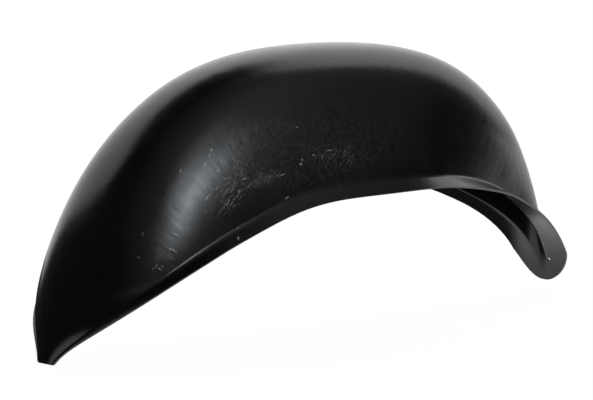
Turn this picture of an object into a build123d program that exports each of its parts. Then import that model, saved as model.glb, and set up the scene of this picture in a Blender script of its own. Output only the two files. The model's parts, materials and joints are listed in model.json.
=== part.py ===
# Wheel arch liner: one thermoformed sheet, an arch-shaped channel with a lip along both rims
# and a rounded tongue at each end. X runs along the car, Y across it and Z up. The sections
# stand in planes through the wheel's axle, and their angle counts from straight up.
import os
from math import cos, degrees, hypot, radians, sin

from build123d import *

# Sheet
sheet = 2.5

# Crown line seen from the side: a rounded arch about the axle, cut short at the tongue tips
crown_height = 395.0
crown_reach_left = 369.5
crown_reach_right = 371.2
crown_fullness_left = 2.45
crown_fullness_right = 2.51
tip_angle_left = 74.25
tip_angle_right = 73.5

# Depth of the rims below the crown line: where it runs out towards each tongue, how late and how softly
channel_depth = 150.8
runout_left = 78.7
runout_right = 71.5
runout_late_left = 3.94
runout_late_right = 3.12
runout_soft_left = 2.33
runout_soft_right = 1.83
runout_end = 0.985

# Outline of the rims seen from above: half widths, and how late and how softly the sides draw in
half_width = 92.3
tongue_half_left = 11.8
tongue_half_right = 37.6
taper_late_left = 11.2
taper_late_right = 3.12
taper_soft_left = 1.63
taper_soft_right = 2.03
nose_radius_left = 5.0
nose_length_right = 71.9
nose_trim = 0.5
nose_margin = 0.8

# Lip flared out along both rims: its length, its slope in the middle, how late that flattens
# towards the tongues, its root radius, and the share of the lip which that takes at most
lip_length = 15.6
lip_slope = 66.3
lip_late = 1.54
root_radius = 3.0
root_share = 0.2

# Channel's section: how square it is in the middle and at the run-outs, how late it loses that,
# how full its crown is, the lean of its walls, the half width of the V where it runs out on the
# right, and how late it narrows to that
square_mid = 1.36
square_end_left = 0.47
square_end_right = 0.48
square_late_left = 1.76
square_late_right = 2.2
crown_bulge = 1.6
flank_share = 0.32
wall_draft = 0.18
groove_half = 7.0
narrow_late = 2.9

# Screw hole in the right tongue, beside the V's tip
screw_radius = 2.1
screw_clearance = 0.15
screw_angle = 69.3
screw_side = 10.5

# Shares of the way from the middle to a tip at which sections are drawn
section_steps = (0.2, 0.4, 0.56, 0.68, 0.77, 0.84, 0.89, 0.93, 0.965, 1.0)


def by_side(angle, left, right):
    return right if angle > 0 else left


def crown_radius(angle):
    reach = by_side(angle, crown_reach_left, crown_reach_right)
    fullness = by_side(angle, crown_fullness_left, crown_fullness_right)
    across = (abs(sin(radians(angle))) / reach) ** fullness
    upward = (cos(radians(angle)) / crown_height) ** fullness
    return (across + upward) ** (-1 / fullness)


def runout_way(angle):
    return min(abs(angle) / by_side(angle, runout_left, runout_right), runout_end)


def steepness(angle):
    return 1 - runout_way(angle) ** by_side(angle, runout_late_left, runout_late_right)


def rim_radius(angle):
    soft = by_side(angle, runout_soft_left, runout_soft_right)
    return crown_radius(angle) - channel_depth * steepness(angle) ** soft


def arch_point(radius, angle):
    a = radians(angle)
    return Vector(radius(angle) * sin(a), 0, radius(angle) * cos(a))


def rim_half(angle):
    tongue = by_side(angle, tongue_half_left, tongue_half_right)
    way = abs(angle) / by_side(angle, tip_angle_left, tip_angle_right)
    late = by_side(angle, taper_late_left, taper_late_right)
    soft = by_side(angle, taper_soft_left, taper_soft_right)
    return tongue + (half_width - tongue) * (1 - way**late) ** soft


def skin(rim, edge, half, foot, top, steep, square):
    """One face of the sheet from +Y to -Y: lip, rounded root, channel, root and lip."""
    lip = Vector(rim, edge) - Vector(half, foot)
    root = min(root_radius, root_share * lip.length)
    out = Vector(half, foot) + lip.normalized() * root
    wall = half - root * (1 - steep) / 2
    start = foot + root * steep
    lean = wall * (1 - wall_draft)
    shoulder = start + (top - start) * square
    crown = start + (top - start) * (crown_bulge - square / 2)
    flank = flank_share * wall
    Line((rim, edge), out)
    Bezier(out, (half, foot), (wall, start))
    near = ((-flank, crown), (-lean, shoulder), (-wall, start))
    Bezier((wall, start), (lean, shoulder), (flank, crown), *near)
    Bezier((-wall, start), (-half, foot), (-out.X, out.Y))
    Line((-out.X, out.Y), (-rim, edge))


def section(angle):
    """The sheet cut in the plane through the axle at this angle."""
    way = runout_way(angle)
    steep = steepness(angle)
    top = crown_radius(angle)
    edge = rim_radius(angle)
    rim = rim_half(angle)
    lip = lip_length * by_side(angle, rim / half_width, 1)
    slope = radians(lip_slope) * (1 - way**lip_late)
    drop = lip * sin(slope) * steep
    foot = edge + drop
    narrowing = way**narrow_late
    tapered = rim - lip * cos(slope)
    grooved = groove_half * narrowing + tapered * (1 - narrowing)
    half = by_side(angle, tapered, grooved)
    square_end = by_side(angle, square_end_left, square_end_right)
    square_late = by_side(angle, square_late_left, square_late_right)
    square = square_mid + (square_end - square_mid) * way**square_late
    slant = hypot(rim - half, drop)
    rim_in = rim - sheet * drop / slant
    edge_in = edge - sheet * (rim - half) / slant
    half_in = half - sheet * steep
    foot_in = edge_in + (rim_in - half_in) * drop / (rim - half)
    with BuildLine() as cut:
        skin(rim, edge, half, foot, top, steep, square)
        Line((-rim, edge), (-rim_in, edge_in))
        skin(rim_in, edge_in, half_in, foot_in, top - sheet, steep, square)
        Line((rim_in, edge_in), (rim, edge))
    a = radians(angle)
    return Plane((0, 0, 0), x_dir=(0, 1, 0), z_dir=(cos(a), 0, -sin(a))) * Face(cut.wire())


def sheet_plane(radius, angle, side):
    """Plane along the crown line or the rims, its y axis pointing to the right tip."""
    along = arch_point(radius, angle + 0.5) - arch_point(radius, angle - 0.5)
    middle = arch_point(radius, angle) + Vector(0, side, 0)
    return Plane(middle, x_dir=(0, 1, 0), z_dir=Vector(0, 1, 0).cross(along))


angles = [-tip_angle_left * step for step in reversed(section_steps)]
angles += [0.0]
angles += [tip_angle_right * step for step in section_steps]
nose_angle = tip_angle_right - degrees((nose_length_right + nose_trim) / crown_radius(tip_angle_right))

with BuildPart() as shell:
    loft(sections=[section(angle) for angle in angles])
    # Left tongue: the corners of its tip are rounded
    left_tip = shell.faces().filter_by(GeomType.PLANE).sort_by(Axis.X)[0]
    corners = left_tip.edges().sort_by(Axis.Y)
    fillet((corners[0], corners[-1]), radius=nose_radius_left)
    # Right tongue: its end is cut to a half oval
    with BuildSketch(sheet_plane(crown_radius, nose_angle, 0)):
        with Locations((0, nose_length_right)):
            Rectangle(2 * half_width, 2 * nose_length_right)
        Ellipse(rim_half(nose_angle) + nose_margin, nose_length_right, mode=Mode.SUBTRACT)
    extrude(amount=10 * sheet, both=True, mode=Mode.SUBTRACT)
    # Screw hole
    with Locations(sheet_plane(rim_radius, screw_angle, -screw_side)):
        Cylinder(radius=screw_radius + screw_clearance, height=8 * sheet, mode=Mode.SUBTRACT)

# The frame's origin is under the middle of the liner's box, at the level of its lowest tip
box = shell.part.bounding_box()
with BuildPart() as liner_shell:
    with Locations((-box.center().X, -box.center().Y, -box.min.Z)):
        add(shell.part)

os.makedirs("parts", exist_ok=True)
liner_shell.part.label = "liner_shell"
export_step(liner_shell.part, "parts/liner_shell.step")
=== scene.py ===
import json
import math

import bmesh
import bpy
from mathutils import Matrix, Quaternion, Vector


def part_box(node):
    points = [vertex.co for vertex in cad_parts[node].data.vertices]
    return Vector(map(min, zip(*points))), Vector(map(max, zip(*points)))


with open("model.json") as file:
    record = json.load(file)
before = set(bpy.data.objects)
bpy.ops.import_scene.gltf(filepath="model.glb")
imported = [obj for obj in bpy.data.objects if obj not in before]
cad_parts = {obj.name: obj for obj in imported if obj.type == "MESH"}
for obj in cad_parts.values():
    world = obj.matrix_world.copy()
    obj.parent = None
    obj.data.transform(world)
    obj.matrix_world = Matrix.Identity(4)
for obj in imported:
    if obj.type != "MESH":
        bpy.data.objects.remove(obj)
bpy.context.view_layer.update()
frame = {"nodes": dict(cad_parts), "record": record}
scene = bpy.context.scene
scene.view_settings.view_transform = "Standard"


# Liner shell: one sheet of black plastic, drawn over a mould while hot and trimmed round the
# edge. The outside is glossy, a little wavy, and nicked, rubbed and dusty from handling. The
# inside is a little duller, and the trimmed edge is a pale, rough cut.

class Finish:
    """A value in a finish's node tree. Sums on it add Math nodes."""

    def __init__(self, tree, socket=None):
        self.tree = tree
        self.socket = socket

    def node(self, kind, settings, inputs, output=0):
        made = self.tree.nodes.new(kind)
        for name, setting in settings.items():
            if name == "stops":
                stops = made.color_ramp.elements
                while len(stops) < len(setting):
                    stops.new(0.5)
                for stop, (position, level) in zip(stops, setting):
                    stop.position = position
                    stop.color = (level, level, level, 1.0)
            else:
                setattr(made, name, setting)
        for name, given in inputs.items():
            if isinstance(given, Finish):
                self.tree.links.new(given.socket, made.inputs[name])
            else:
                made.inputs[name].default_value = given
        return Finish(self.tree, made.outputs[output] if made.outputs else None)

    def math(self, operation, first, second=0.0):
        return self.node("ShaderNodeMath", {"operation": operation}, {0: first, 1: second})

    def vector(self, operation, first, second, output="Vector"):
        return self.node("ShaderNodeVectorMath", {"operation": operation}, {0: first, 1: second}, output)

    def ramp(self, *stops):
        return self.node("ShaderNodeValToRGB", {"stops": stops}, {"Fac": self})

    def __add__(self, other):
        return self.math("ADD", self, other)

    __radd__ = __add__

    def __sub__(self, other):
        return self.math("SUBTRACT", self, other)

    def __rsub__(self, other):
        return self.math("SUBTRACT", other, self)

    def __mul__(self, other):
        return self.math("MULTIPLY", self, other)

    __rmul__ = __mul__


def new_finish(name):
    material = bpy.data.materials.new(name)
    material.use_nodes = True
    material.node_tree.nodes.clear()
    return material, Finish(material.node_tree)


black = (0.0022, 0.0023, 0.0024, 1.0)
dusty = (0.052, 0.052, 0.050, 1.0)
inside_black = (0.0090, 0.0115, 0.0060, 1.0)
mark_grey = (0.78, 0.78, 0.76, 1.0)
edge_grey = (0.20, 0.20, 0.19, 1.0)

plastic, make = new_finish("black_plastic_worn")
place = make.node("ShaderNodeTexCoord", {}, {}, "Object")
facing = make.node("ShaderNodeNewGeometry", {}, {}, "Normal")


def noise(scale, detail=2.0, roughness=0.5, where=place):
    return make.node("ShaderNodeTexNoise", {}, {
        "Vector": where, "Scale": scale, "Detail": detail, "Roughness": roughness}, "Fac")


def strokes(angle, length, width):
    """Short fine strokes all over, in the plane of the wall and rising at an angle."""
    turned = make.node("ShaderNodeMapping", {"vector_type": "TEXTURE"}, {
        "Vector": place, "Rotation": (0.0, math.radians(-angle), 0.0), "Scale": (length, length, width)})
    return noise(1.0, 2.0, 0.6, turned)


wall_y = -0.075
wall_reach = 0.05


def patch(*ovals):
    """Soft ovals on the near wall, each given by its middle's x and z, its lean, length and width."""
    gap = None
    for x, z, angle, length, width in ovals:
        local = make.node("ShaderNodeMapping", {"vector_type": "TEXTURE"}, {
            "Vector": place, "Location": (x, wall_y, z), "Rotation": (0.0, math.radians(-angle), 0.0),
            "Scale": (length / 2, wall_reach, width / 2)})
        reach = make.vector("LENGTH", local, (0.0, 0.0, 0.0), "Value")
        gap = make.math("MINIMUM", gap, reach) if gap else reach
    return gap.ramp((0.45, 1.0), (1.0, 0.0))


def most(first, *others):
    """The largest of these values, point by point."""
    for other in others:
        first = make.math("MAXIMUM", first, other)
    return first


# Where a face looks: away from the wheel's axle, towards it, or out sideways
low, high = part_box("liner_shell")
axle_drop = 0.100984
axle = Vector(((low.x + high.x) / 2, 0.0, low.z - axle_drop))
from_axle = make.vector("SUBTRACT", place, axle)
outward = make.vector("DOT_PRODUCT", from_axle, facing, "Value")
inside = (outward * -8.0 + 0.5).ramp((0.3, 0.0), (0.7, 1.0))

# The trimmed edge looks out sideways and a little down, or along the arch at the two tips
spoke = make.vector("NORMALIZE", make.vector("MULTIPLY", from_axle, (1.0, 0.0, 1.0)), (0.0, 0.0, 0.0))
lifted = make.vector("DOT_PRODUCT", spoke, facing, "Value")
side_place = make.node("ShaderNodeSeparateXYZ", {}, {"Vector": place}, "Y")
side_facing = make.node("ShaderNodeSeparateXYZ", {}, {"Vector": facing}, "Y")
sideways = side_facing * make.math("SIGN", side_place)
lowered = (0.5 - lifted).ramp((0.46, 0.0), (0.54, 1.0))
rim_edge = sideways.ramp((0.3, 0.0), (0.4, 1.0)) * lowered
along = make.vector("CROSS_PRODUCT", spoke, (0.0, 1.0, 0.0))
endways = make.math("ABSOLUTE", make.vector("DOT_PRODUCT", along, facing, "Value"))
tip_edge = endways.ramp((0.6, 0.0), (0.75, 1.0))
bore = Vector(frame["record"]["mounts"][0]["pos_m"])
off_bore = make.vector("DISTANCE", place, bore, "Value").ramp((0.0035, 0.0), (0.0042, 1.0))
edge = most(rim_edge, tip_edge) * off_bore

# Nicks and short scratches, each where the wall was struck: its x and z, lean, length and width
nicks = (
    (-0.2040, 0.2010, 55, 0.0054, 0.0023), (-0.2075, 0.1955, 60, 0.0054, 0.0019),
    (-0.2140, 0.1875, 30, 0.0063, 0.0030), (-0.2010, 0.1812, -25, 0.0045, 0.0027),
    (-0.2400, 0.1825, 70, 0.0045, 0.0023), (-0.1950, 0.1725, 35, 0.0054, 0.0016),
    (-0.2050, 0.1648, 50, 0.0063, 0.0015), (-0.2165, 0.1568, 48, 0.0126, 0.0014),
    (-0.2612, 0.1092, 20, 0.0045, 0.0019), (-0.2588, 0.1072, -30, 0.0045, 0.0016),
    (-0.2642, 0.1100, 60, 0.0036, 0.0014), (-0.2802, 0.0945, 65, 0.0045, 0.0021),
    (-0.2766, 0.0915, -35, 0.0045, 0.0018), (-0.2830, 0.0925, 10, 0.0036, 0.0016),
    (-0.2740, 0.0940, 50, 0.0027, 0.0014), (-0.2880, 0.1260, 70, 0.0045, 0.0010),
    (-0.2960, 0.1040, 15, 0.0036, 0.0014), (-0.0998, 0.1807, 0, 0.0045, 0.0033),
    (-0.0975, 0.1850, 80, 0.0036, 0.0015), (-0.1206, 0.1487, 22, 0.0063, 0.0018),
    (-0.1720, 0.1710, 15, 0.0063, 0.0014), (-0.1800, 0.1600, 82, 0.0072, 0.0012),
    (-0.1935, 0.1500, 62, 0.0090, 0.0012), (-0.1660, 0.1650, 42, 0.0108, 0.0010),
    (-0.0985, 0.2175, 5, 0.0045, 0.0014), (-0.1260, 0.1715, 14, 0.0144, 0.0010),
    (-0.0820, 0.1890, 30, 0.0054, 0.0012), (-0.0600, 0.1920, 10, 0.0063, 0.0012),
    (-0.1900, 0.1150, 35, 0.0054, 0.0023))
ragged = noise(650.0, 1.0).ramp((0.40, 0.0), (0.55, 1.0))
struck = patch(*nicks) * ragged

# Fine strokes in a few directions, gathered where the wall was rubbed
rubbed = patch((-0.145, 0.171, 8, 0.05, 0.022), (-0.055, 0.186, -5, 0.10, 0.034),
               (-0.190, 0.165, 45, 0.09, 0.050))
fine = most(strokes(38, 0.009, 0.0010).ramp((0.60, 0.0), (0.72, 1.0)),
            strokes(62, 0.008, 0.0010).ramp((0.62, 0.0), (0.74, 0.8)),
            strokes(12, 0.007, 0.0009).ramp((0.64, 0.0), (0.75, 0.8))) * rubbed
smear = patch((-0.150, 0.168, 12, 0.045, 0.014))

# A thin film of dust, thicker in the middle of the wall
cloud = noise(7.0, 5.0, 0.6).ramp((0.40, 0.0), (0.75, 1.0))
dusted = patch((-0.09, 0.192, 0, 0.42, 0.12))
dust = noise(260.0, 3.0, 0.7).ramp((0.35, 0.0), (0.75, 1.0)) * dusted


def blend(share, first, second):
    return make.node("ShaderNodeMix", {"data_type": "RGBA"}, {"Factor": share, 6: first, 7: second}, 2)


marks = most(struck, fine * 0.38)
colour = blend(cloud * 0.15 + dust * 0.55 + smear * 0.65, black, dusty)
colour = blend(inside, colour, inside_black)
colour = blend(marks * 0.8, colour, mark_grey)
colour = blend(edge * 0.8, colour, edge_grey)
mottle = noise(75.0, 4.0, 0.65).ramp((0.3, 0.0), (0.7, 1.0))
clean_roughness = 0.185
roughness = clean_roughness + mottle * 0.05 + cloud * 0.03 + dust * 0.05
roughness = roughness + marks * 0.2 + inside * 0.02 + edge * 0.25

relief = 0.001
waves = noise(13.0, 1.0)
ripples = noise(55.0, 1.0)
grain = noise(600.0)
height = waves * 0.4 + ripples * 0.03 + grain * 0.005 - fine * 0.05
bump = make.node("ShaderNodeBump", {}, {"Height": height, "Strength": 1.0, "Distance": relief}, "Normal")

shader = make.node("ShaderNodeBsdfPrincipled", {}, {
    "Base Color": colour, "Roughness": roughness, "Normal": bump, "IOR": 1.5}, "BSDF")
make.node("ShaderNodeOutputMaterial", {}, {"Surface": shader})

shell = frame["nodes"]["liner_shell"]
shell.data.materials[0] = plastic


# Camera: a little above the liner and to the left of its near side, with a long lens. Its angles
# are in degrees, and its distances, in metres, are taken from a point above the wheel's axle.
yaw, elevation, roll = 43.345, 6.789, -0.068
eye_distance = 2.7662
pixels_per_metre = 952.7
slide, rise = 0.020729, -0.080119
target_height = 0.150
picture_width = 593
sensor_width = 36.0
axle_to_frame = Vector((-0.000594, 0.0, -axle_drop))


def direction(turned, climbed=0.0):
    """The way that lies at these angles from the camera's heading and from level."""
    heading, slope = math.radians(yaw + turned), math.radians(climbed)
    reach = math.cos(slope)
    return Vector((math.sin(heading) * reach, math.cos(heading) * reach, math.sin(slope)))


ahead = direction(0.0, -elevation)
level_right = direction(90.0)
level_upward = level_right.cross(ahead)
lean = math.radians(roll)
right = level_right * math.cos(lean) - level_upward * math.sin(lean)
upward = level_right * math.sin(lean) + level_upward * math.cos(lean)
target = Vector((0.0, 0.0, target_height)) + axle_to_frame
eye = target - right * slide - upward * rise - ahead * eye_distance

camera_data = bpy.data.cameras.new("camera")
camera_data.sensor_width = sensor_width
camera_data.lens = sensor_width * pixels_per_metre * eye_distance / picture_width
camera = bpy.data.objects.new("camera", camera_data)
camera.matrix_world = Matrix.Translation(eye) @ Matrix((right, upward, -ahead)).transposed().to_4x4()
scene.collection.objects.link(camera)
scene.camera = camera


# Floor: plain pale paper, laid flat and far enough to reach the horizon. It looks white, apart from
# the liner's shadow. In the liner's reflections it glows white only behind the liner and close to its
# two tongues, a painted reflection. Everywhere else it is painted dark, a painted shade that also
# stands in for the liner's shadow behind its far rim.
floor_size = 60.0
floor_gap = 0.0005
paper_glow = 1.13
glow_share = 0.85
left_tip_reflection_spot = (-0.385, -0.035, 0.0)
paper_white = (0.8, 0.8, 0.8, 1.0)
# Painted shade: the dark colour that the paper shows in the liner's reflections wherever it is not
# painted to glow.
painted_mirror_shade = (0.05, 0.05, 0.05, 1.0)
behind = direction(0.0)

paper, make = new_finish("floor_paper_painted_reflections")
spot = make.node("ShaderNodeTexCoord", {}, {}, "Object")
back = make.vector("DOT_PRODUCT", spot, behind, "Value")
across = make.vector("DOT_PRODUCT", spot, right, "Value")
spot_x = make.node("ShaderNodeSeparateXYZ", {}, {"Vector": spot}, "X")
spot_y = make.node("ShaderNodeSeparateXYZ", {}, {"Vector": spot}, "Y")
# Painted reflection: the liner mirrors the paper glowing white only behind it, by its right tongue and
# by its left tip.
painted_wedge = make.math("MINIMUM", back - (across - 0.1) * 0.75, back + across * 1.6)
painted_wedge = painted_wedge.ramp((0.0, 0.0), (0.12, 1.0))
# Painted shadow: behind the far rim the mirrored paper is kept dark, standing in for the liner's shadow
# there.
past_painted_shadow_x = make.math("ABSOLUTE", spot_x).ramp((0.42, 0.0), (0.50, 1.0))
past_painted_shadow_y = spot_y.ramp((0.35, 0.0), (0.50, 1.0))
painted_wedge = painted_wedge * most(past_painted_shadow_x, past_painted_shadow_y)
tongue_painted_reflection = (spot_x - spot_y * 0.6).ramp((0.27, 0.0), (0.29, 1.0), (0.6, 1.0), (0.8, 0.0))
tongue_painted_reflection = tongue_painted_reflection * (spot_y + 0.5).ramp((0.565, 1.0), (0.58, 0.0))
tip_painted_reflection = make.vector("DISTANCE", spot, left_tip_reflection_spot, "Value").ramp((0.02, 1.0), (0.05, 0.0))
painted_reflection = most(painted_wedge, tongue_painted_reflection, tip_painted_reflection)
seen = make.node("ShaderNodeLightPath", {}, {}, "Is Camera Ray")
through = make.node("ShaderNodeLightPath", {}, {}, "Is Transmission Ray")
mirrored = make.node("ShaderNodeLightPath", {}, {}, "Is Glossy Ray")
# Camera rays see white paper; mirrored rays see it glow white only in the painted reflection.
white = most(seen, through, mirrored * painted_reflection)
# Diffuse colour: pale paper, but dark in the liner's reflections outside the painted reflection, a
# painted shade.
paper_and_painted_shade = make.node("ShaderNodeMix", {"data_type": "RGBA"}, {
    "Factor": mirrored * (1.0 - painted_reflection), 6: paper_white, 7: painted_mirror_shade}, 2)
lit = make.node("ShaderNodeBsdfDiffuse", {}, {"Color": paper_and_painted_shade}, "BSDF")
bare = make.node("ShaderNodeEmission", {}, {
    "Color": (1.0, 1.0, 1.0, 1.0), "Strength": paper_glow}, "Emission")
surface = make.node("ShaderNodeMixShader", {}, {"Fac": white * glow_share, 1: lit, 2: bare})
make.node("ShaderNodeOutputMaterial", {}, {"Surface": surface})

sheet = bmesh.new()
bmesh.ops.create_grid(sheet, x_segments=1, y_segments=1, size=floor_size / 2)
bmesh.ops.translate(sheet, verts=sheet.verts, vec=(0.0, 0.0, low.z - floor_gap))
floor_mesh = bpy.data.meshes.new("floor")
sheet.to_mesh(floor_mesh)
sheet.free()
floor_mesh.materials.append(paper)
floor = bpy.data.objects.new("floor", floor_mesh)
scene.collection.objects.link(floor)


# Studio: a white backdrop behind the liner in a dim room, a faint glow high on the right, and a
# leaning softbox there, brightest in its middle, whose light draws the pale streak on the wall.
room_level = 0.03
backdrop_level = 1.17

world = bpy.data.worlds.new("studio")
world.use_nodes = True
world.node_tree.nodes.clear()
scene.world = world
make = Finish(world.node_tree)
way = make.node("ShaderNodeTexCoord", {}, {}, "Generated")
climb = make.node("ShaderNodeSeparateXYZ", {}, {"Vector": way}, "Z")
back = make.vector("DOT_PRODUCT", way, behind, "Value")
across = make.vector("DOT_PRODUCT", way, right, "Value")
left_edge = (0.02 + back + across * (1.25 - climb * 2.0)).ramp((0.0, 0.0), (0.14, 1.0))
right_edge = (back - across * (0.80 - climb * 0.6)).ramp((0.0, 0.0), (0.12, 1.0))
higher = across.ramp((0.0, 0.0), (0.3, 0.12)) + (0.0 - across).ramp((0.1, 0.0), (0.5, 0.14))
top_edge = (climb - higher).ramp((0.70, 1.0), (0.81, 0.0))
rightward = make.math("MAXIMUM", across, 0.0)
backdrop = left_edge * right_edge * top_edge * (1.0 + rightward * (climb * 1.5 - 0.6))
side_way = direction(114.0, 42.0)
side = make.vector("DOT_PRODUCT", way, side_way, "Value")
side = side.ramp((0.66, 0.0), (0.80, 0.09), (0.90, 0.12), (1.0, 0.32))
seen = make.node("ShaderNodeLightPath", {}, {}, "Is Camera Ray")
through = make.node("ShaderNodeLightPath", {}, {}, "Is Transmission Ray")
level = most(seen, through, room_level + side, backdrop * backdrop_level)
sky = make.node("ShaderNodeBackground", {}, {"Color": level, "Strength": 1.0})
make.node("ShaderNodeOutputWorld", {}, {"Surface": sky})

streak = Vector((-0.22, -0.07, 0.17))
softbox_distance = 4.0
softbox_colour = (0.88, 0.94, 1.0)
softbox_lean = Quaternion((0.0, 0.0, 1.0), math.radians(30))


def softbox(name, turned, climbed, wide, tall, brightness):
    """A soft oval light that faces the streak and leans, placed and sized by angles seen from there."""
    towards = direction(turned, climbed)
    light = bpy.data.lights.new(name, "AREA")
    light.shape = "ELLIPSE"
    light.size = 2 * softbox_distance * math.tan(math.radians(wide / 2))
    light.size_y = 2 * softbox_distance * math.tan(math.radians(tall / 2))
    oval_area = math.pi / 4 * light.size * light.size_y
    light.energy = math.pi * oval_area * brightness
    light.color = softbox_colour
    lamp = bpy.data.objects.new(name, light)
    lamp.location = streak + towards * softbox_distance
    lamp.rotation_euler = (towards.to_track_quat("Z", "Y") @ softbox_lean).to_euler()
    scene.collection.objects.link(lamp)


softbox("softbox_centre", 120.5, 16.5, 7, 11, 7.8)
softbox("softbox_middle", 123.5, 18, 11, 27, 3.3)
softbox("softbox_rim", 122, 23, 16, 38, 0.6)
softbox("softbox_upper", 126, 37, 16, 14, 0.5)
